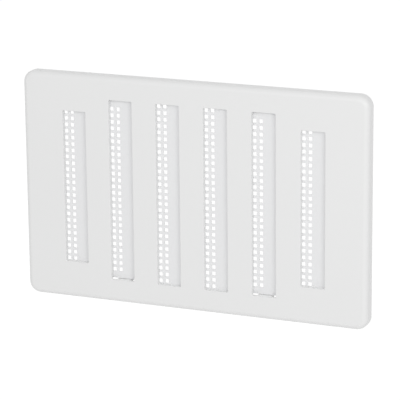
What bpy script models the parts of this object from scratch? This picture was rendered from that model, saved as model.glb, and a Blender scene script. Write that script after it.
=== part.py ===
# Hit and miss vent: a slotted cover that slides sideways over a fixed back plate.
# The back plate carries six strips of moulded insect mesh with blank bars between them,
# so the cover's slots stand over mesh when open and over blank bars when shut.
# The wall is the plane Y = 0, the room is towards -Y and +X is the viewer's right.
# The origin is the middle of the back plate's lower edge, on the wall.

from math import copysign, radians

import bmesh
import bpy
from mathutils import Matrix

mm = 0.001

# Insect mesh: rows and columns of square holes in each strip
hole_pitch = 4.7 * mm
hole_size = 2.7 * mm
mesh_columns = 4
mesh_rows = (24, 26, 28, 28, 26, 24)
hooked_strips = (1, 4)  # these strips leave room for the cover's hooks at both ends
outer_strips = (0, 5)
panel_thickness = 1.4 * mm

# Slots in the cover
slot_side_margin = 0.5 * mm  # mesh strip's side to the slot's side, vent open
slot_end_margin = 0.85 * mm  # last row of holes to the slot's end
outer_slot_end_margin = 0.1 * mm  # the same in the two outermost slots
slot_corner_radius = 0.8 * mm
slot_edge_chamfer = 0.4 * mm
shut_overlap = 1.4 * mm  # how much wider a blank bar is than the slot it shuts
lip_wall = 1.5 * mm
lip_depth = 3.4 * mm  # cover's front face to the rear edge of the lips round the slots

# Cover
cover_side_margin = 31.1 * mm  # outermost slot to the cover's side
cover_end_margin = 16.85 * mm  # tallest slot to the cover's top or bottom
cover_corner_radius = 8.5 * mm
cover_edge_radius = 4 * mm
cover_wall = 2 * mm
cover_depth = 9.5 * mm
wall_gap = 0.5 * mm  # cover's rim to the wall
slide_from_middle = 1.3 * mm  # where the cover stands in its travel, right of half open

# Hooks that hold the cover to the back plate
hook_width = 10.4 * mm
hook_thickness = 1.6 * mm
hook_root = 0.5 * mm  # how far the hook runs into the cover's wall
hook_advance = 0.4 * mm  # slot's end to the hook's inner face, towards the slot's middle
barb_reach = 1.1 * mm
barb_catch = 0.6 * mm  # how far the barb passes behind the back plate
barb_flat = 0.6 * mm
barb_length = 2 * mm

# Back plate
plate_corner_radius = 8 * mm
flange_wall = 2 * mm
bar_rib_thickness = 1.5 * mm
bar_rib_depth = 2.5 * mm
boss_radius = 4.5 * mm
boss_inset = 2.5 * mm  # screw boss to the flange
screw_hole_radius = 2.2 * mm
screw_head_radius = 4.1 * mm

# Clearances between the cover and the back plate
running_clearance = 0.3 * mm
guide_clearance = 0.3 * mm
stop_clearance = 0.3 * mm
side_clearance = 1 * mm
hook_clearance = 0.7 * mm

# Worked out from the values above
slot_count = len(mesh_rows)
strip_width = (mesh_columns - 1) * hole_pitch + hole_size
slot_width = strip_width + 2 * slot_side_margin
slot_spacing = strip_width + slot_width + shut_overlap
travel = slot_spacing / 2
cover_width = (slot_count - 1) * slot_spacing + slot_width + 2 * cover_side_margin
tallest_strip = (max(mesh_rows) - 1) * hole_pitch + hole_size
cover_height = tallest_strip + 2 * slot_end_margin + 2 * cover_end_margin
plate_width = cover_width - 2 * cover_wall - travel - 2 * side_clearance
plate_height = cover_height - 2 * cover_wall - 2 * guide_clearance
centre_height = (plate_height - flange_wall) / 2

front_face = -(cover_depth + wall_gap)
lip_rear = front_face + lip_depth
panel_front = lip_rear + running_clearance
panel_rear = panel_front + panel_thickness
panel_middle = panel_front + panel_thickness / 2
barb_front = panel_rear + running_clearance
hook_end = barb_front + barb_length
overshoot = 1 * mm  # how far a cutter passes through a face


def new_material(name, colour, roughness):
    material = bpy.data.materials.new(name)
    material.use_nodes = True
    shader = material.node_tree.nodes["Principled BSDF"]
    shader.inputs["Base Color"].default_value = (*colour, 1)
    shader.inputs["Roughness"].default_value = roughness
    shader.inputs["Metallic"].default_value = 0
    return material


def new_object(name, mesh_builder, collection, parent=None):
    # The mesh is drawn about the vent's centre, and the object's place moves it
    mesh = bpy.data.meshes.new(name)
    mesh_builder.to_mesh(mesh)
    mesh_builder.free()
    made = bpy.data.objects.new(name, mesh)
    collection.objects.link(made)
    made.parent = parent
    return made


def add_box(builder, x_range, y_range, z_range):
    # Corners take the given values themselves, so that boxes which share a plane share it exactly
    corners = bmesh.ops.create_cube(builder, size=1)["verts"]
    for corner in corners:
        corner.co = [
            high if place > 0 else low
            for place, (low, high) in zip(corner.co, (x_range, y_range, z_range))
        ]
    return corners


def edges_along_y(edges):
    return [edge for edge in edges if abs(edge.verts[0].co.y - edge.verts[1].co.y) > 0.1 * mm]


def add_rounded_box(builder, x_range, y_range, z_range, radius, segments):
    corners = add_box(builder, x_range, y_range, z_range)
    edges = edges_along_y({edge for vertex in corners for edge in vertex.link_edges})
    bmesh.ops.bevel(
        builder, geom=edges, offset=radius, segments=segments, profile=0.5, affect="EDGES"
    )


def use_tool(piece, tool, operation):
    # Cuts the tool from the piece, or joins it on, and hides the tool
    tool.display_type = "WIRE"
    tool.hide_render = True
    boolean = piece.modifiers.new(f"{operation.lower()} {tool.name}", "BOOLEAN")
    boolean.operation = operation
    boolean.solver = "EXACT"
    boolean.object = tool


def finish_piece(piece, material):
    piece.data.materials.append(material)
    piece.data.shade_smooth()
    piece.data.set_sharp_from_angle(angle=radians(35))


def centred(half):
    return (-half, half)


def slot_centres():
    first = -(slot_count - 1) * slot_spacing / 2
    return [first + index * slot_spacing for index in range(slot_count)]


def strip_half_height(index):
    return ((mesh_rows[index] - 1) * hole_pitch + hole_size) / 2


def slot_half_height(index):
    if index in outer_strips:
        return strip_half_height(index) + outer_slot_end_margin
    return tallest_strip / 2 + slot_end_margin


def cover_shell(collection):
    # A dished plate: sides, rounded front edge and front face in one open skin
    builder = bmesh.new()
    add_rounded_box(
        builder,
        centred(cover_width / 2),
        (front_face, -wall_gap),
        centred(cover_height / 2),
        cover_corner_radius,
        10,
    )
    back = [face for face in builder.faces if face.calc_center_median().y > -wall_gap - 0.1 * mm]
    bmesh.ops.delete(builder, geom=back, context="FACES_ONLY")
    front_edges = [
        edge for edge in builder.edges if all(v.co.y < front_face + 0.1 * mm for v in edge.verts)
    ]
    bmesh.ops.bevel(
        builder, geom=front_edges, offset=cover_edge_radius, segments=6, profile=0.5, affect="EDGES"
    )
    return new_object("front_cover", builder, collection)


def add_slot_cutter(builder, centre, half_height):
    # The cutter widens at the front face, which leaves a small chamfer round the slot
    half_width = slot_width / 2
    straight = front_face + slot_edge_chamfer
    corners = add_box(
        builder,
        (centre - half_width, centre + half_width),
        (straight, lip_rear + overshoot),
        centred(half_height),
    )
    edges = edges_along_y({edge for vertex in corners for edge in vertex.link_edges})
    rounded = bmesh.ops.bevel(
        builder, geom=edges, offset=slot_corner_radius, segments=3, profile=0.5, affect="EDGES"
    )
    around = {face for part in rounded["faces"] for vertex in part.verts for face in vertex.link_faces}
    front = [face for face in around if all(v.co.y < straight + 0.1 * mm for v in face.verts)]
    moved = bmesh.ops.extrude_face_region(builder, geom=front)["geom"]
    bmesh.ops.delete(builder, geom=front, context="FACES_ONLY")
    flare = slot_edge_chamfer + overshoot
    for vertex in (item for item in moved if isinstance(item, bmesh.types.BMVert)):
        vertex.co.x += copysign(flare, vertex.co.x - centre)
        vertex.co.y -= flare
        vertex.co.z += copysign(flare, vertex.co.z)


def slot_cutters(collection, cover):
    builder = bmesh.new()
    for index, centre in enumerate(slot_centres()):
        add_slot_cutter(builder, centre, slot_half_height(index))
    bmesh.ops.recalc_face_normals(builder, faces=builder.faces)
    return new_object("slot_cutters", builder, collection, cover)


def slot_lips(collection, cover):
    # Blocks wider than the slots, from which the slot cutters leave a lip round each slot.
    # Slots with hooks have no lip at their ends.
    builder = bmesh.new()
    half_width = slot_width / 2 + lip_wall
    for index, centre in enumerate(slot_centres()):
        beyond = -slot_corner_radius if index in hooked_strips else lip_wall
        add_box(
            builder,
            (centre - half_width, centre + half_width),
            (front_face + cover_wall / 2, lip_rear),
            centred(slot_half_height(index) + beyond),
        )
    return new_object("slot_lips", builder, collection, cover)


def hook_outline(side, slot_end):
    # Depth and height of the hook's profile: a finger with a barb towards the slot's middle
    inner = slot_end - hook_advance
    outer = inner + hook_thickness
    tip = inner - barb_reach
    root = front_face + cover_wall - hook_root
    profile = (
        (root, outer),
        (hook_end, outer),
        (hook_end, inner),
        (barb_front + barb_flat, tip),
        (barb_front, tip),
        (barb_front, inner),
        (root, inner),
    )
    return [(depth, side * height) for depth, height in profile]


def cover_hooks(collection, cover):
    builder = bmesh.new()
    for index in hooked_strips:
        centre = slot_centres()[index]
        for side in (-1, 1):
            outline = hook_outline(side, slot_half_height(index))
            left = centre - hook_width / 2
            corners = [builder.verts.new((left, depth, height)) for depth, height in outline]
            profile = builder.faces.new(corners)
            grown = bmesh.ops.extrude_face_region(builder, geom=[profile])["geom"]
            moved = [item for item in grown if isinstance(item, bmesh.types.BMVert)]
            bmesh.ops.translate(builder, verts=moved, vec=(hook_width, 0, 0))
    bmesh.ops.recalc_face_normals(builder, faces=builder.faces)
    return new_object("cover_hooks", builder, collection, cover)


def front_cover(parts, tools, material):
    cover = cover_shell(parts)
    cover.location = (slide_from_middle, 0, centre_height)
    wall = cover.modifiers.new("wall", "SOLIDIFY")
    wall.thickness = cover_wall
    wall.offset = -1
    wall.use_even_offset = True
    use_tool(cover, slot_lips(tools, cover), "UNION")
    use_tool(cover, slot_cutters(tools, cover), "DIFFERENCE")
    use_tool(cover, cover_hooks(tools, cover), "UNION")
    finish_piece(cover, material)


def strip_centres():
    # Half open, each strip stands a quarter of the spacing left of its slot
    return [centre - slot_spacing / 4 for centre in slot_centres()]


def plate_block(collection):
    builder = bmesh.new()
    add_rounded_box(
        builder,
        centred(plate_width / 2),
        (panel_front, 0),
        centred(plate_height / 2),
        plate_corner_radius,
        6,
    )
    return new_object("back_plate", builder, collection)


def plate_pocket(collection, plate):
    # The hollow behind the panel, which leaves the flange that stands on the wall
    builder = bmesh.new()
    add_rounded_box(
        builder,
        centred(plate_width / 2 - flange_wall),
        (panel_rear, overshoot),
        centred(plate_height / 2 - flange_wall),
        plate_corner_radius - flange_wall,
        6,
    )
    return new_object("plate_pocket", builder, collection, plate)


def bar_ribs(collection, plate):
    # Stiffening ribs behind the blank bars
    builder = bmesh.new()
    half_length = strip_half_height(hooked_strips[0])
    for centre in strip_centres()[:-1]:
        bar = centre + slot_spacing / 2
        add_box(
            builder,
            (bar - bar_rib_thickness / 2, bar + bar_rib_thickness / 2),
            (panel_middle, panel_rear + bar_rib_depth),
            centred(half_length),
        )
    return new_object("bar_ribs", builder, collection, plate)


def boss_places():
    reach = flange_wall + boss_inset + boss_radius
    across = plate_width / 2 - reach
    up = plate_height / 2 - reach
    return [(x, z) for x in (-across, across) for z in (-up, up)]


def add_cylinder(builder, x, z, y_range, front_radius, rear_radius, segments):
    low, high = y_range
    turned = Matrix.Translation((x, (low + high) / 2, z)) @ Matrix.Rotation(radians(90), 4, "X")
    bmesh.ops.create_cone(
        builder,
        cap_ends=True,
        segments=segments,
        radius1=rear_radius,
        radius2=front_radius,
        depth=high - low,
        matrix=turned,
    )


def screw_bosses(collection, plate):
    builder = bmesh.new()
    for x, z in boss_places():
        add_cylinder(builder, x, z, (panel_middle, 0), boss_radius, boss_radius, 20)
    return new_object("screw_bosses", builder, collection, plate)


def screw_holes(collection, plate):
    # Countersunk holes: each cone narrows at 45 degrees to the shank's radius
    builder = bmesh.new()
    cone_end = panel_front + screw_head_radius - screw_hole_radius
    for x, z in boss_places():
        add_cylinder(
            builder,
            x,
            z,
            (panel_front - overshoot, cone_end),
            screw_head_radius + overshoot,
            screw_hole_radius,
            16,
        )
    ends = [face for face in builder.faces if all(v.co.y > cone_end - 0.1 * mm for v in face.verts)]
    grown = bmesh.ops.extrude_discrete_faces(builder, faces=ends)["faces"]
    shanks = {vertex for face in grown for vertex in face.verts}
    bmesh.ops.translate(builder, verts=list(shanks), vec=(0, overshoot - cone_end, 0))
    return new_object("screw_holes", builder, collection, plate)


def hook_windows(collection, plate):
    # Long enough for the hooks' travel, so that their ends stop the cover
    builder = bmesh.new()
    half_length = hook_width / 2 + travel / 2 + stop_clearance
    for index in hooked_strips:
        centre = slot_centres()[index]
        inner = slot_half_height(index) - hook_advance - barb_reach + barb_catch
        outer = slot_half_height(index) - hook_advance + hook_thickness + hook_clearance
        for low, high in ((-outer, -inner), (inner, outer)):
            add_box(
                builder,
                (centre - half_length, centre + half_length),
                (panel_front - overshoot, panel_rear + overshoot),
                (low, high),
            )
    return new_object("hook_windows", builder, collection, plate)


def mesh_channels(collection, plate):
    # The mesh is two crossed layers of ribs: upright channels cut from the front ...
    builder = bmesh.new()
    for index, centre in enumerate(strip_centres()):
        first = centre - (mesh_columns - 1) * hole_pitch / 2
        for column in range(mesh_columns):
            middle = first + column * hole_pitch
            add_box(
                builder,
                (middle - hole_size / 2, middle + hole_size / 2),
                (panel_front - overshoot, panel_middle),
                centred(strip_half_height(index)),
            )
    return new_object("mesh_channels", builder, collection, plate)


def mesh_cross_channels(collection, plate):
    # ... and level channels cut from the rear, open through the panel where they cross
    builder = bmesh.new()
    for index, centre in enumerate(strip_centres()):
        first = -(mesh_rows[index] - 1) * hole_pitch / 2
        for row in range(mesh_rows[index]):
            middle = first + row * hole_pitch
            add_box(
                builder,
                (centre - strip_width / 2, centre + strip_width / 2),
                (panel_middle, panel_rear + overshoot),
                (middle - hole_size / 2, middle + hole_size / 2),
            )
    return new_object("mesh_cross_channels", builder, collection, plate)


def back_plate(parts, tools, material):
    plate = plate_block(parts)
    plate.location = (0, 0, centre_height)
    use_tool(plate, plate_pocket(tools, plate), "DIFFERENCE")
    use_tool(plate, bar_ribs(tools, plate), "UNION")
    use_tool(plate, screw_bosses(tools, plate), "UNION")
    use_tool(plate, screw_holes(tools, plate), "DIFFERENCE")
    use_tool(plate, hook_windows(tools, plate), "DIFFERENCE")
    use_tool(plate, mesh_channels(tools, plate), "DIFFERENCE")
    use_tool(plate, mesh_cross_channels(tools, plate), "DIFFERENCE")
    finish_piece(plate, material)


def new_collection(name):
    collection = bpy.data.collections.new(name)
    bpy.context.scene.collection.children.link(collection)
    return collection


def build_vent():
    for old in list(bpy.data.objects):
        bpy.data.objects.remove(old, do_unlink=True)
    parts = new_collection("hit_and_miss_vent")
    tools = new_collection("vent_cutters")
    front_cover(parts, tools, new_material("cover_plastic", (0.82, 0.83, 0.83), 0.4))
    back_plate(parts, tools, new_material("plate_plastic", (0.80, 0.81, 0.82), 0.45))


build_vent()
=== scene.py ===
from math import cos, pi, radians, sin, tan

import bmesh
import bpy
from mathutils import Matrix, Vector


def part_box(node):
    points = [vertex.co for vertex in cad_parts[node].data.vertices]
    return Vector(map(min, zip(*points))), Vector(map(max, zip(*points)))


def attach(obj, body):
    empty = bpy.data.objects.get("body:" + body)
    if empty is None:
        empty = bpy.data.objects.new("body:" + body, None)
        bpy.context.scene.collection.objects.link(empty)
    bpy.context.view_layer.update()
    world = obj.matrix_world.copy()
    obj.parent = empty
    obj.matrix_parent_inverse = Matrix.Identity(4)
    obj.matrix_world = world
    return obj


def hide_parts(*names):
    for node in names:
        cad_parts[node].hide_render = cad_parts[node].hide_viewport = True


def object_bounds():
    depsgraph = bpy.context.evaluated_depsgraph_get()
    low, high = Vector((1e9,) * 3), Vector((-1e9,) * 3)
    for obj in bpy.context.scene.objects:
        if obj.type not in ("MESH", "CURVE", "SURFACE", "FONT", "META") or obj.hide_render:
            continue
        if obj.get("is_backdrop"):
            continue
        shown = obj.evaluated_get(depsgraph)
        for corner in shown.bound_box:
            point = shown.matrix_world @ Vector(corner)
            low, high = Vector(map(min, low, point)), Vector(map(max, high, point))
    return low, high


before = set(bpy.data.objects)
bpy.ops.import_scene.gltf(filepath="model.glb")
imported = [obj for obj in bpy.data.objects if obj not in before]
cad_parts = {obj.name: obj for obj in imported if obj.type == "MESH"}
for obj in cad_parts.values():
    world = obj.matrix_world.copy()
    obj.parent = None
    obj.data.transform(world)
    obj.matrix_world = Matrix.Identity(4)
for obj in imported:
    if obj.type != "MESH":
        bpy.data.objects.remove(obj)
cadLow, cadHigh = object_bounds()
print("frame loaded:", ", ".join(sorted(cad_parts)))

mm = 0.001
slack = 0.01 * mm  # how far off a plane a point may lie and still be picked
sliver = 0.002 * mm  # faces thinner than this are merged away
overrun = 1 * mm  # how far a cutter reaches past what it cuts
squarely = 0.9  # the least share of a normal that points along its axis
shadingAngle = 32  # degrees; sharper edges stay crisp


# Helpers for work by operator

def deselectAll():
    bpy.ops.object.select_all(action="DESELECT")


def makeActive(piece):
    deselectAll()
    piece.select_set(True)
    bpy.context.view_layer.objects.active = piece


def addBlock(name, low, high):
    # a cube at its size and place, with its place kept in its mesh
    deselectAll()
    low, high = Vector(low), Vector(high)
    bpy.ops.mesh.primitive_cube_add(size=1, location=(low + high) / 2, scale=high - low)
    block = bpy.context.object
    block.name = block.data.name = name
    bpy.ops.object.transform_apply(location=True, rotation=False, scale=True)
    return block


def addRod(name, x, z, radius, front, rear, steps):
    deselectAll()
    bpy.ops.mesh.primitive_cylinder_add(
        vertices=steps,
        radius=radius,
        depth=rear - front,
        location=(x, (front + rear) / 2, z),
        rotation=(radians(90), 0, 0),
    )
    rod = bpy.context.object
    rod.name = rod.data.name = name
    bpy.ops.object.transform_apply(location=True, rotation=True, scale=True)
    return rod


def editPiece(piece):
    makeActive(piece)
    bpy.ops.object.mode_set(mode="EDIT")
    bpy.ops.mesh.select_all(action="DESELECT")


def leaveEdit():
    bpy.ops.object.mode_set(mode="OBJECT")


def pickFaces(piece, wanted):
    bpy.ops.mesh.select_all(action="DESELECT")
    bpy.ops.mesh.select_mode(type="FACE")
    form = bmesh.from_edit_mesh(piece.data)
    form.faces.ensure_lookup_table()
    for face in form.faces:
        face.select_set(wanted(face))
    bmesh.update_edit_mesh(piece.data)


def pickEdges(piece, wanted):
    bpy.ops.mesh.select_all(action="DESELECT")
    bpy.ops.mesh.select_mode(type="EDGE")
    form = bmesh.from_edit_mesh(piece.data)
    form.edges.ensure_lookup_table()
    for edge in form.edges:
        edge.select_set(wanted(edge))
    bmesh.update_edit_mesh(piece.data)


# The room is towards -Y and the wall towards +Y

def facesRoom(face):
    return face.normal.y < -squarely


def facesWall(face):
    return face.normal.y > squarely


def runsAlongY(edge):
    start, end = edge.verts
    return abs(start.co.y - end.co.y) > slack


def liesBefore(level):
    return lambda edge: all(end.co.y < level for end in edge.verts)


def liesBehind(level):
    return lambda edge: all(end.co.y > level for end in edge.verts)


def roundEdges(radius, steps):
    bpy.ops.mesh.bevel(offset=radius, segments=steps, profile=0.5, affect="EDGES")


def extrudeFaces(x, y, z):
    bpy.ops.mesh.extrude_region_move(TRANSFORM_OT_translate={"value": (x, y, z)})


def growFaces(growX, growZ, x, z):
    bpy.ops.transform.resize(value=(growX, 1, growZ), center_override=(x, 0, z))


def flareOutwards(middle, halves, rounding, steps):
    # widens the picked front face of a cutter along a quarter round
    (x, z), (halfWidth, halfHeight) = middle, halves
    spread, depth = 0, 0
    for step in range(1, steps + 1):
        turn = radians(90) * step / steps
        newSpread, newDepth = rounding * (1 - cos(turn)), rounding * sin(turn)
        growX = (halfWidth + newSpread) / (halfWidth + spread)
        growZ = (halfHeight + newSpread) / (halfHeight + spread)
        extrudeFaces(0, depth - newDepth, 0)
        growFaces(growX, growZ, x, z)
        spread, depth = newSpread, newDepth


def joinPieces(name, pieces):
    deselectAll()
    for piece in pieces:
        piece.select_set(True)
    bpy.context.view_layer.objects.active = pieces[0]
    bpy.ops.object.join()
    joined = bpy.context.object
    joined.name = joined.data.name = name
    return joined


def applyBoolean(piece, tool, operation):
    # the tool is used up
    boolean = piece.modifiers.new("boolean", "BOOLEAN")
    boolean.operation = operation
    boolean.solver = "EXACT"
    boolean.object = tool
    makeActive(piece)
    bpy.ops.object.modifier_apply(modifier=boolean.name)
    bpy.data.objects.remove(tool, do_unlink=True)


def mergeSlivers(piece):
    # closes the hair-thin faces that a cut can leave
    editPiece(piece)
    bpy.ops.mesh.select_all(action="SELECT")
    bpy.ops.mesh.remove_doubles(threshold=sliver)
    bpy.ops.mesh.dissolve_degenerate(threshold=sliver)
    leaveEdit()


def softenShading(piece):
    makeActive(piece)
    bpy.ops.object.shade_smooth_by_angle(angle=radians(shadingAngle))
    weighted = piece.modifiers.new("weighted normals", "WEIGHTED_NORMAL")
    weighted.keep_sharp = True
    bpy.ops.object.modifier_apply(modifier=weighted.name)


# Moulded plastic

mouldedLook = {
    "grain": {"Detail": 3, "Roughness": 0.6},  # each finish sets its scale
    "wave": {"Scale": 55, "Detail": 2, "Roughness": 0.4},
    "drift": {"Scale": 14, "Detail": 3, "Roughness": 0.55},
    "streak": {"Scale": 160, "Detail": 4, "Roughness": 0.6},
    "streakStretch": (1, 1, 0.25),  # the melt ran upright beside the slots
}


def newGroup(name, inputs, outputs):
    group = bpy.data.node_groups.new(name, "ShaderNodeTree")
    for label, kind in inputs:
        group.interface.new_socket(label, in_out="INPUT", socket_type=kind)
    for label, kind in outputs:
        group.interface.new_socket(label, in_out="OUTPUT", socket_type=kind)
    return group, group.nodes.new("NodeGroupInput"), group.nodes.new("NodeGroupOutput")


def addNoise(tree, values):
    noise = tree.nodes.new("ShaderNodeTexNoise")
    for label, value in values.items():
        noise.inputs[label].default_value = value
    return noise


def makeMouldedGroup(look):
    # height from fine grain and shallow waves, tone from slow drift, polish from upright streaks
    group, start, end = newGroup(
        "mouldedSurface",
        [
            ("Place", "NodeSocketVector"),
            ("Grain Scale", "NodeSocketFloat"),
            ("Wave Share", "NodeSocketFloat"),
        ],
        [
            ("Height", "NodeSocketFloat"),
            ("Tone", "NodeSocketFloat"),
            ("Polish", "NodeSocketFloat"),
        ],
    )
    link = group.links.new
    grain = addNoise(group, look["grain"])
    link(start.outputs["Place"], grain.inputs["Vector"])
    link(start.outputs["Grain Scale"], grain.inputs["Scale"])
    wave = addNoise(group, look["wave"])
    link(start.outputs["Place"], wave.inputs["Vector"])
    height = group.nodes.new("ShaderNodeMix")
    height.data_type = "FLOAT"
    link(start.outputs["Wave Share"], height.inputs["Factor"])
    link(grain.outputs["Fac"], height.inputs["A"])
    link(wave.outputs["Fac"], height.inputs["B"])
    link(height.outputs["Result"], end.inputs["Height"])

    drift = addNoise(group, look["drift"])
    link(start.outputs["Place"], drift.inputs["Vector"])
    link(drift.outputs["Fac"], end.inputs["Tone"])

    streak = addNoise(group, look["streak"])
    stretched = group.nodes.new("ShaderNodeMapping")
    stretched.inputs["Scale"].default_value = look["streakStretch"]
    link(start.outputs["Place"], stretched.inputs["Vector"])
    link(stretched.outputs["Vector"], streak.inputs["Vector"])
    link(streak.outputs["Fac"], end.inputs["Polish"])
    return group


def addColourMix(tree):
    mix = tree.nodes.new("ShaderNodeMix")
    mix.data_type = "RGBA"
    factor = [s for s in mix.inputs if s.name == "Factor" and s.type == "VALUE"][0]
    first, second = [s for s in mix.inputs if s.type == "RGBA"]
    result = [s for s in mix.outputs if s.type == "RGBA"][0]
    return factor, first, second, result


def makePlastic(name, group, look):
    material = bpy.data.materials.new(name)
    material.use_nodes = True
    tree = material.node_tree
    link = tree.links.new
    shader = tree.nodes["Principled BSDF"]
    shader.inputs["Metallic"].default_value = 0
    shader.inputs["IOR"].default_value = look["ior"]
    place = tree.nodes.new("ShaderNodeTexCoord")
    surface = tree.nodes.new("ShaderNodeGroup")
    surface.node_tree = group
    surface.inputs["Grain Scale"].default_value = look["grainScale"]
    surface.inputs["Wave Share"].default_value = look["waveShare"]
    link(place.outputs["Object"], surface.inputs["Place"])

    factor, first, second, drifted = addColourMix(tree)
    first.default_value = (*look["colour"], 1)
    second.default_value = (*look["driftColour"], 1)
    link(surface.outputs["Tone"], factor)
    link(drifted, shader.inputs["Base Color"])

    polish = tree.nodes.new("ShaderNodeMapRange")
    polish.inputs["From Min"].default_value = look["streakSpan"][0]
    polish.inputs["From Max"].default_value = look["streakSpan"][1]
    polish.inputs["To Min"].default_value = look["roughness"][0]
    polish.inputs["To Max"].default_value = look["roughness"][1]
    link(surface.outputs["Polish"], polish.inputs["Value"])
    link(polish.outputs["Result"], shader.inputs["Roughness"])

    bump = tree.nodes.new("ShaderNodeBump")
    bump.inputs["Strength"].default_value = look["grainStrength"]
    bump.inputs["Distance"].default_value = look["grainDepth"]
    link(surface.outputs["Height"], bump.inputs["Height"])
    link(bump.outputs["Normal"], shader.inputs["Normal"])
    return material


coverFinish = {
    "colour": (0.874, 0.875, 0.874),
    "driftColour": (0.861, 0.863, 0.862),
    "roughness": (0.34, 0.42),  # at the two ends of the streaks' span
    "streakSpan": (0.3, 0.7),
    "ior": 1.5,
    "grainScale": 2600,
    "waveShare": 0.25,
    "grainStrength": 0.25,
    "grainDepth": 0.04 * mm,
}
plateFinish = {
    "colour": (0.870, 0.872, 0.880),
    "driftColour": (0.859, 0.861, 0.870),
    "roughness": (0.40, 0.50),
    "streakSpan": (0.3, 0.7),
    "ior": 1.5,
    "grainScale": 2100,
    "waveShare": 0.2,
    "grainStrength": 0.3,
    "grainDepth": 0.04 * mm,
}
mouldedGroup = makeMouldedGroup(mouldedLook)
coverPlastic = makePlastic("whiteCoverPlastic", mouldedGroup, coverFinish)
platePlastic = makePlastic("whitePlatePlastic", mouldedGroup, plateFinish)
print("materials made")


# Cover: a dished shell with lipped slots and four barbed hooks

coverLook = {
    "wallGap": 0.5 * mm,  # between the rim and the wall behind
    "cornerRadius": 8.5 * mm,
    "cornerSteps": 20,
    "edgeRadius": 4 * mm,
    "edgeSteps": 10,
    "wall": 2 * mm,
    "slotSpacing": 36 * mm,
    "slotWidth": 17.8 * mm,
    "slotHalfHeights": (55.5, 65.65, 65.65, 65.65, 65.65, 55.5),  # millimetres
    "slotCorner": 0.8 * mm,
    "slotCornerSteps": 6,
    "slotRounding": 0.4 * mm,
    "slotRoundingSteps": 4,
    "lipWall": 1.5 * mm,
    "lipDepth": 3.6 * mm,  # from the front face, as are the hooks' two depths
    "hookedSlots": (1, 4),  # counted from zero at the left
    "hookWidth": 10.4 * mm,
    "hookThickness": 1.6 * mm,
    "hookAdvance": 0.4 * mm,  # from the slot's end towards its middle
    "hookRootDepth": 1.5 * mm,
    "hookCatchDepth": 5.4 * mm,
    "hookSoftEdge": 0.15 * mm,
    "hookSoftSteps": 2,
    "barbFlat": 0.6 * mm,
    "barbLength": 2 * mm,
    "barbReach": 1.1 * mm,
}


def makeShell(look, low, high):
    shell = addBlock("cover", low, high)
    editPiece(shell)
    pickEdges(shell, runsAlongY)
    roundEdges(look["cornerRadius"], look["cornerSteps"])
    pickFaces(shell, facesWall)
    bpy.ops.mesh.delete(type="ONLY_FACE")
    pickEdges(shell, liesBefore(low.y + slack))
    roundEdges(look["edgeRadius"], look["edgeSteps"])
    leaveEdit()
    wall = shell.modifiers.new("wall", "SOLIDIFY")
    wall.thickness = look["wall"]
    wall.offset = -1
    wall.use_even_offset = True
    makeActive(shell)
    bpy.ops.object.modifier_apply(modifier=wall.name)
    return shell


def slotMiddles(look, middle):
    count = len(look["slotHalfHeights"])
    return [middle.x + (index - (count - 1) / 2) * look["slotSpacing"] for index in range(count)]


def makeLips(look, middle, front):
    # round the plain slots, and along the sides alone of the hooked ones
    blocks = []
    for index, x in enumerate(slotMiddles(look, middle)):
        halfWidth = look["slotWidth"] / 2 + look["lipWall"]
        beyond = -look["slotCorner"] if index in look["hookedSlots"] else look["lipWall"]
        halfHeight = look["slotHalfHeights"][index] * mm + beyond
        blocks.append(
            addBlock(
                f"lip{index}",
                (x - halfWidth, front + look["wall"] / 2, middle.z - halfHeight),
                (x + halfWidth, front + look["lipDepth"], middle.z + halfHeight),
            )
        )
    return joinPieces("lips", blocks)


def makeSlotCutter(look, index, x, z, front):
    # flares at the front face in a quarter round
    halfWidth = look["slotWidth"] / 2
    halfHeight = look["slotHalfHeights"][index] * mm
    rounding = look["slotRounding"]
    cutter = addBlock(
        f"slotCutter{index}",
        (x - halfWidth, front + rounding, z - halfHeight),
        (x + halfWidth, front + look["lipDepth"] + overrun, z + halfHeight),
    )
    editPiece(cutter)
    pickEdges(cutter, runsAlongY)
    roundEdges(look["slotCorner"], look["slotCornerSteps"])
    pickFaces(cutter, facesRoom)
    flareOutwards((x, z), (halfWidth, halfHeight), rounding, look["slotRoundingSteps"])
    extrudeFaces(0, -overrun, 0)
    leaveEdit()
    return cutter


def makeHook(look, x, slotEnd, side, middle, front):
    # a finger at the slot's end, with a barb towards the slot's middle
    inner = middle.z + side * (slotEnd - look["hookAdvance"])
    outer = inner + side * look["hookThickness"]
    catch = front + look["hookCatchDepth"]
    tip = catch + look["barbLength"]
    hook = addBlock(
        "hook",
        (x - look["hookWidth"] / 2, front + look["hookRootDepth"], min(inner, outer)),
        (x + look["hookWidth"] / 2, tip, max(inner, outer)),
    )
    editPiece(hook)
    bpy.ops.mesh.select_all(action="SELECT")
    bpy.ops.mesh.bisect(plane_co=(x, catch, inner), plane_no=(0, 1, 0))

    def facesSlotAtTip(face):
        return face.normal.z * side < -squarely and face.calc_center_median().y > catch

    pickFaces(hook, facesSlotAtTip)
    extrudeFaces(0, 0, -side * look["barbReach"])
    reached = inner - side * (look["barbReach"] - slack)

    def isBarbTip(edge):
        ends = [end.co for end in edge.verts]
        return all((co.z - reached) * side < 0 and co.y > tip - slack for co in ends)

    pickEdges(hook, isBarbTip)
    bpy.ops.transform.translate(value=(0, look["barbFlat"] - look["barbLength"], 0))
    pickEdges(hook, liesBehind(catch + slack))
    roundEdges(look["hookSoftEdge"], look["hookSoftSteps"])
    leaveEdit()
    return hook


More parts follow.
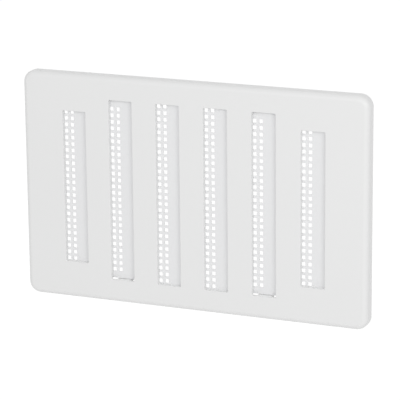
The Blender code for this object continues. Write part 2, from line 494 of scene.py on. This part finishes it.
def makeCover(look):
    low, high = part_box("front_cover")
    high.y = -look["wallGap"]
    front, middle = low.y, Vector(((low.x + high.x) / 2, 0, (low.z + high.z) / 2))
    shell = makeShell(look, low, high)
    applyBoolean(shell, makeLips(look, middle, front), "UNION")
    places = slotMiddles(look, middle)
    cutters = [makeSlotCutter(look, index, x, middle.z, front) for index, x in enumerate(places)]
    applyBoolean(shell, joinPieces("slotCutters", cutters), "DIFFERENCE")
    hooks = [
        makeHook(look, places[index], look["slotHalfHeights"][index] * mm, side, middle, front)
        for index in look["hookedSlots"]
        for side in (-1, 1)
    ]
    applyBoolean(shell, joinPieces("hooks", hooks), "UNION")
    mergeSlivers(shell)
    return shell, middle


cover, coverMiddle = makeCover(coverLook)
softenShading(cover)
cover.data.materials.clear()
cover.data.materials.append(coverPlastic)
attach(cover, "cover")
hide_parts("front_cover")
print("cover made:", len(cover.data.polygons), "faces")


# Back plate: a tray on the wall with strips of mesh, hook windows and screw bosses

plateLook = {
    "cornerRadius": 8 * mm,
    "cornerSteps": 14,
    "flangeWall": 2 * mm,
    "panel": 1.4 * mm,
    "softEdge": 0.3 * mm,
    "softSteps": 3,
    "stripSpacing": 36 * mm,
    "stripOffset": -9 * mm,
    "columns": 4,
    "rows": (24, 26, 28, 28, 26, 24),  # of holes in each strip
    "pitch": 4.7 * mm,
    "hole": 2.7 * mm,
    "holeCorner": 0.35 * mm,
    "holeRounding": 0.18 * mm,
    "holeSteps": 2,
    "holeDraft": 10,  # degrees, wider at the rear
    "ribThickness": 1.5 * mm,
    "ribDepth": 2.5 * mm,
    "ribHalfHeight": 60.1 * mm,
    "bossRadius": 4.5 * mm,
    "bossPlace": (109 * mm, 71.2 * mm),  # across and up from the plate's middle
    "roundSteps": 48,
    "screwHole": 2.2 * mm,  # radius, as is the head's
    "screwHead": 4.1 * mm,
    "windowMiddle": 54 * mm,  # across, to either side
    "windowHalfLength": 14.5 * mm,
    "windowEnds": (65.05 * mm, 67.55 * mm),  # up and down from the middle
    "windowCorner": 0.5 * mm,
    "windowSteps": 4,
}


def makePlateBody(look, low, high):
    # a shallow tray that stands on its flange, open to the wall
    body = addBlock("plate", low, high)
    editPiece(body)
    pickEdges(body, runsAlongY)
    roundEdges(look["cornerRadius"], look["cornerSteps"])
    pickEdges(body, liesBefore(low.y + slack))
    roundEdges(look["softEdge"], look["softSteps"])
    pickFaces(body, facesWall)
    bpy.ops.mesh.inset(thickness=look["flangeWall"], depth=0)
    extrudeFaces(0, -(high.y - low.y - look["panel"]), 0)
    leaveEdit()
    return body


def stripMiddles(look):
    count = len(look["rows"])
    middles = [(index - (count - 1) / 2) * look["stripSpacing"] for index in range(count)]
    return [x + look["stripOffset"] for x in middles]


def makeRib(look, x, middleZ, panelRear):
    halfWidth, halfHeight = look["ribThickness"] / 2, look["ribHalfHeight"]
    rear = panelRear + look["ribDepth"]
    rib = addBlock(
        "rib",
        (x - halfWidth, panelRear - look["panel"] / 2, middleZ - halfHeight),
        (x + halfWidth, rear, middleZ + halfHeight),
    )
    editPiece(rib)
    pickEdges(rib, liesBehind(rear - slack))
    roundEdges(look["softEdge"], look["softSteps"])
    leaveEdit()
    return rib


def makeBoss(look, x, z, panelRear, wall):
    front = panelRear - look["panel"] / 2
    boss = addRod("boss", x, z, look["bossRadius"], front, wall, look["roundSteps"])
    editPiece(boss)
    pickEdges(boss, liesBehind(wall - slack))
    roundEdges(look["softEdge"], look["softSteps"])
    leaveEdit()
    return boss


def makeScrewHole(look, x, z, panelFront, wall):
    # a shank with a countersink of 45 degrees for the head
    shank, head = look["screwHole"], look["screwHead"]
    coneEnd = panelFront + head - shank
    hole = addRod("screwHole", x, z, shank, coneEnd, wall + overrun, look["roundSteps"])
    editPiece(hole)
    pickFaces(hole, facesRoom)
    extrudeFaces(0, panelFront - overrun - coneEnd, 0)
    grow = (head + overrun) / shank
    growFaces(grow, grow, x, z)
    leaveEdit()
    return hole


def makeWindow(look, x, low, high, panelFront, panelRear):
    window = addBlock(
        "window",
        (x - look["windowHalfLength"], panelFront - overrun, low),
        (x + look["windowHalfLength"], panelRear + overrun, high),
    )
    editPiece(window)
    pickEdges(window, runsAlongY)
    roundEdges(look["windowCorner"], look["windowSteps"])
    leaveEdit()
    return window


def makeHoleCutter(look, panelFront, panelRear):
    # one square hole about the origin, its front edge slightly rounded and its walls drafted
    half, rounding = look["hole"] / 2, look["holeRounding"]
    front, rear = panelFront + rounding, panelRear + overrun / 2
    hole = addBlock("meshHole", (-half, front, -half), (half, rear, half))
    editPiece(hole)
    pickEdges(hole, runsAlongY)
    roundEdges(look["holeCorner"], look["holeSteps"])
    pickFaces(hole, facesWall)
    grow = 1 + tan(radians(look["holeDraft"])) * (rear - front) / half
    growFaces(grow, grow, 0, 0)
    pickFaces(hole, facesRoom)
    flareOutwards((0, 0), (half, half), rounding, look["holeSteps"])
    extrudeFaces(0, -overrun / 2, 0)
    leaveEdit()
    return hole


def makeMeshStrip(look, hole, x, z, rows):
    columns, pitch = look["columns"], look["pitch"]
    strip = hole.copy()
    strip.data = hole.data.copy()
    bpy.context.scene.collection.objects.link(strip)
    for count, step in ((columns, (pitch, 0, 0)), (rows, (0, 0, pitch))):
        array = strip.modifiers.new("array", "ARRAY")
        array.count = count
        array.use_relative_offset = False
        array.use_constant_offset = True
        array.constant_offset_displace = step
        makeActive(strip)
        bpy.ops.object.modifier_apply(modifier=array.name)
    strip.location = (x - (columns - 1) * pitch / 2, 0, z - (rows - 1) * pitch / 2)
    bpy.ops.object.transform_apply(location=True, rotation=False, scale=False)
    return strip


def makePlate(look):
    low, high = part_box("back_plate")
    low.y, high.y = round(low.y, 6), round(high.y, 6)  # drops the frame's rounding errors
    panelFront, panelRear, wall = low.y, low.y + look["panel"], high.y
    middleZ = (low.z + high.z) / 2
    plate = makePlateBody(look, low, high)

    strips = stripMiddles(look)
    acrossBoss, upBoss = look["bossPlace"]
    corners = [(x, middleZ + z) for x in (-acrossBoss, acrossBoss) for z in (-upBoss, upBoss)]
    added = [makeRib(look, x + look["stripSpacing"] / 2, middleZ, panelRear) for x in strips[:-1]]
    added += [makeBoss(look, x, z, panelRear, wall) for x, z in corners]
    applyBoolean(plate, joinPieces("ribsAndBosses", added), "UNION")

    cut = [makeScrewHole(look, x, z, panelFront, wall) for x, z in corners]
    inner, outer = look["windowEnds"]
    for x in (-look["windowMiddle"], look["windowMiddle"]):
        for start, end in ((-outer, -inner), (inner, outer)):
            cut.append(makeWindow(look, x, middleZ + start, middleZ + end, panelFront, panelRear))
    hole = makeHoleCutter(look, panelFront, panelRear)
    cut += [makeMeshStrip(look, hole, x, middleZ, rows) for x, rows in zip(strips, look["rows"])]
    bpy.data.objects.remove(hole, do_unlink=True)
    applyBoolean(plate, joinPieces("plateCutters", cut), "DIFFERENCE")
    return plate


plate = makePlate(plateLook)
softenShading(plate)
plate.data.materials.clear()
plate.data.materials.append(platePlastic)
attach(plate, "back")
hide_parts("back_plate")
print("back plate made:", len(plate.data.polygons), "faces")


# Floor, light and camera

stageLook = {
    "floorHeight": -0.6,
    "floorSize": 60,
    "floorColour": (0.92, 0.92, 0.92),
    "floorGlow": 0.46,
    "ambient": 0.62,
    "lampElevation": 20,  # degrees
    "lampDistance": 1.6,
    "lampSize": 0.7,
    # azimuth in degrees, and the share of white it gives a matt surface that faces it
    "keySoftbox": (45, 0.19),
    "fillSoftbox": (0, 0.15),
}


def addGreatest(tree, first, second):
    greatest = tree.nodes.new("ShaderNodeMath")
    greatest.operation = "MAXIMUM"
    tree.links.new(first, greatest.inputs[0])
    tree.links.new(second, greatest.inputs[1])
    return greatest.outputs["Value"]


def whereSeen(tree):
    # one where a ray comes from the camera, a gloss or clear plastic
    rays = tree.nodes.new("ShaderNodeLightPath").outputs
    seenOrGlossy = addGreatest(tree, rays["Is Camera Ray"], rays["Is Glossy Ray"])
    return addGreatest(tree, seenOrGlossy, rays["Is Transmission Ray"])


def makeFloor(look):
    deselectAll()
    bpy.ops.mesh.primitive_plane_add(size=look["floorSize"], location=(0, 0, look["floorHeight"]))
    floor = bpy.context.object
    floor.name = floor.data.name = "floor"
    material = bpy.data.materials.new("paleFloor")
    material.use_nodes = True
    tree = material.node_tree
    shader = tree.nodes["Principled BSDF"]
    shader.inputs["Base Color"].default_value = (*look["floorColour"], 1)
    shader.inputs["Roughness"].default_value = 1
    shader.inputs["Specular IOR Level"].default_value = 0
    shader.inputs["Emission Color"].default_value = (1, 1, 1, 1)
    glow = tree.nodes.new("ShaderNodeMath")
    glow.operation = "MULTIPLY"
    glow.inputs[1].default_value = look["floorGlow"]
    tree.links.new(whereSeen(tree), glow.inputs[0])
    tree.links.new(glow.outputs["Value"], shader.inputs["Emission Strength"])
    floor.data.materials.append(material)
    floor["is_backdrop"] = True


def makeWorld(look):
    world = bpy.data.worlds.new("studio")
    bpy.context.scene.world = world
    world.use_nodes = True
    tree = world.node_tree
    background = tree.nodes["Background"]
    background.inputs["Color"].default_value = (1, 1, 1, 1)
    strength = tree.nodes.new("ShaderNodeMapRange")
    strength.inputs["To Min"].default_value = look["ambient"]
    strength.inputs["To Max"].default_value = 1
    tree.links.new(whereSeen(tree), strength.inputs["Value"])
    tree.links.new(strength.outputs["Result"], background.inputs["Strength"])


def addSoftbox(look, name):
    azimuth, level = look[name]
    distance = look["lampDistance"]
    across, up = radians(azimuth), radians(look["lampElevation"])
    away = Vector((sin(across) * cos(up), -cos(across) * cos(up), sin(up)))
    lamp = bpy.data.lights.new(name, "AREA")
    lamp.shape = "DISK"
    lamp.size = look["lampSize"]
    lamp.energy = level * pi * pi * distance ** 2
    holder = bpy.data.objects.new(name, lamp)
    bpy.context.scene.collection.objects.link(holder)
    holder.location = coverMiddle + away * distance
    holder.rotation_euler = away.to_track_quat("Z", "Y").to_euler()


cameraLook = {
    "place": (0.601533, -1.416564, 0.484751),
    "forward": (-0.375855, 0.890360, -0.256889),
    "roll": -0.010171,  # tips the right-hand side up or down
    "lens": 203.67,  # millimetres, as is the sensor
    "sensorWidth": 36,
    "clip": (0.05, 100),
}


def makeCamera(look):
    view = bpy.data.cameras.new("camera")
    view.lens = look["lens"]
    view.sensor_width = look["sensorWidth"]
    view.clip_start, view.clip_end = look["clip"]
    holder = bpy.data.objects.new("camera", view)
    bpy.context.scene.collection.objects.link(holder)
    back = -Vector(look["forward"]).normalized()
    level = Vector((0, 0, 1)).cross(back).normalized()
    right = (level + Vector((0, 0, look["roll"]))).normalized()
    right = (right - back * right.dot(back)).normalized()
    up = back.cross(right)
    turned = Matrix((right, up, back)).transposed().to_4x4()
    holder.matrix_world = Matrix.Translation(look["place"]) @ turned
    bpy.context.scene.camera = holder


makeFloor(stageLook)
makeWorld(stageLook)
addSoftbox(stageLook, "keySoftbox")
addSoftbox(stageLook, "fillSoftbox")
makeCamera(cameraLook)
bpy.context.scene.view_settings.view_transform = "Standard"
print("stage, light and camera ready")

seenLow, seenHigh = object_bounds()
for label, low, high in (("cad", cadLow, cadHigh), ("seen", seenLow, seenHigh)):
    print(label, "box in millimetres:", [round(side / mm, 2) for side in high - low])
